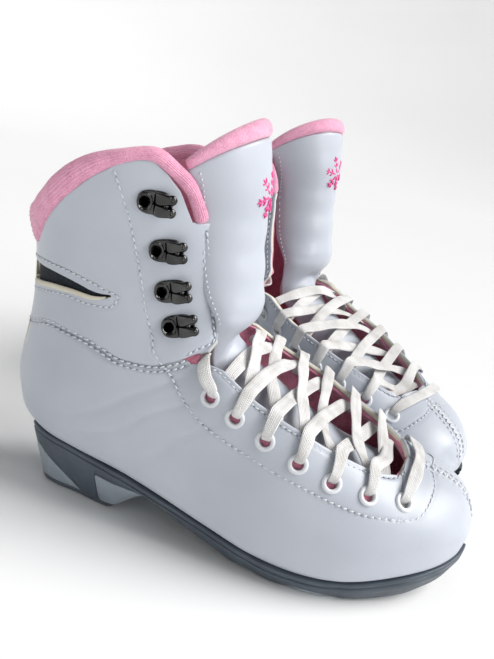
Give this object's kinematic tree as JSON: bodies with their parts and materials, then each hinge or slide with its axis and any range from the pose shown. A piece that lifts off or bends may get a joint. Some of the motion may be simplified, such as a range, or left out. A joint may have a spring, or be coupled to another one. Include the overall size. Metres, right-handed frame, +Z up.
{
  "type": "figure skate boots",
  "caption": "Pair of lace-up figure skate boots with criss-cross laces, lace hooks, padded collars and folding tongues, heeled soles with flat undersides for blades.",
  "frame": {"origin": "centre of the pair's bounding box, on the surface that the soles stand on", "axes": "+X towards the right boot's toe, +Y from the right boot to the left boot, +Z up"},
  "size_m": [0.2554, 0.2606, 0.211],
  "materials": {
    "white_leather": "smooth semi-gloss coated leather with fine grain",
    "cream_leather": "cream leather strip and raw edges",
    "pink_terry": "ribbed pink terry knit",
    "pink_lining": "brushed pink lining cloth",
    "footbed_cloth": "woven cloth on foam",
    "slate_rubber": "satin moulded slate grey",
    "pale_core": "pale grey moulded insert",
    "board": "pressed fibre board",
    "black_nickel": "polished black nickel",
    "lace_cotton": "flat woven cotton braid"
  },
  "bodies": {
    "right_boot": {"right_outsole": "slate_rubber", "right_heel_insert_rear": "pale_core", "right_heel_insert_front": "pale_core", "right_ball_insert": "pale_core", "right_insole_board": "board", "right_footbed": "footbed_cloth", "right_backstay": "cream_leather", "right_tongue_lower": "white_leather", "right_lace": "lace_cotton", "right_lateral_quarter": "white_leather", "right_lateral_cuff": "white_leather", "right_lateral_lining": "pink_lining", "right_lateral_collar_pad": "pink_terry", "right_lateral_eyestay": "white_leather", "right_lateral_hook_1": "black_nickel", "right_lateral_hook_2": "black_nickel", "right_lateral_hook_3": "black_nickel", "right_lateral_hook_4": "black_nickel", "right_medial_quarter": "white_leather", "right_medial_cuff": "white_leather", "right_medial_lining": "pink_lining", "right_medial_collar_pad": "pink_terry", "right_medial_eyestay": "white_leather", "right_medial_hook_1": "black_nickel", "right_medial_hook_2": "black_nickel", "right_medial_hook_3": "black_nickel", "right_medial_hook_4": "black_nickel"},
    "right_tongue": {"right_tongue_upper": "white_leather", "right_tongue_trim": "pink_terry"},
    "left_boot": {"left_outsole": "slate_rubber", "left_heel_insert_rear": "pale_core", "left_heel_insert_front": "pale_core", "left_ball_insert": "pale_core", "left_insole_board": "board", "left_footbed": "footbed_cloth", "left_backstay": "cream_leather", "left_tongue_lower": "white_leather", "left_lace": "lace_cotton", "left_lateral_quarter": "white_leather", "left_lateral_cuff": "white_leather", "left_lateral_lining": "pink_lining", "left_lateral_collar_pad": "pink_terry", "left_lateral_eyestay": "white_leather", "left_lateral_hook_1": "black_nickel", "left_lateral_hook_2": "black_nickel", "left_lateral_hook_3": "black_nickel", "left_lateral_hook_4": "black_nickel", "left_medial_quarter": "white_leather", "left_medial_cuff": "white_leather", "left_medial_lining": "pink_lining", "left_medial_collar_pad": "pink_terry", "left_medial_eyestay": "white_leather", "left_medial_hook_1": "black_nickel", "left_medial_hook_2": "black_nickel", "left_medial_hook_3": "black_nickel", "left_medial_hook_4": "black_nickel"},
    "left_tongue": {"left_tongue_upper": "white_leather", "left_tongue_trim": "pink_terry"}
  },
  "joints": [
    {"name": "left_boot_lift", "type": "slide", "parent": "right_boot", "child": "left_boot", "axis": [0, 0, 1], "range_m": [0, 0.15]},
    {"name": "right_tongue_fold", "type": "hinge", "parent": "right_boot", "child": "right_tongue", "pos_m": [-0.00608, -0.08141, 0.112], "axis": [0, 1, 0], "range_deg": [0, 50]},
    {"name": "left_tongue_fold", "type": "hinge", "parent": "left_boot", "child": "left_tongue", "pos_m": [0.00913, 0.05516, 0.112], "axis": [0.4384, 0.8988, 0], "range_deg": [0, 50]}
  ]
}
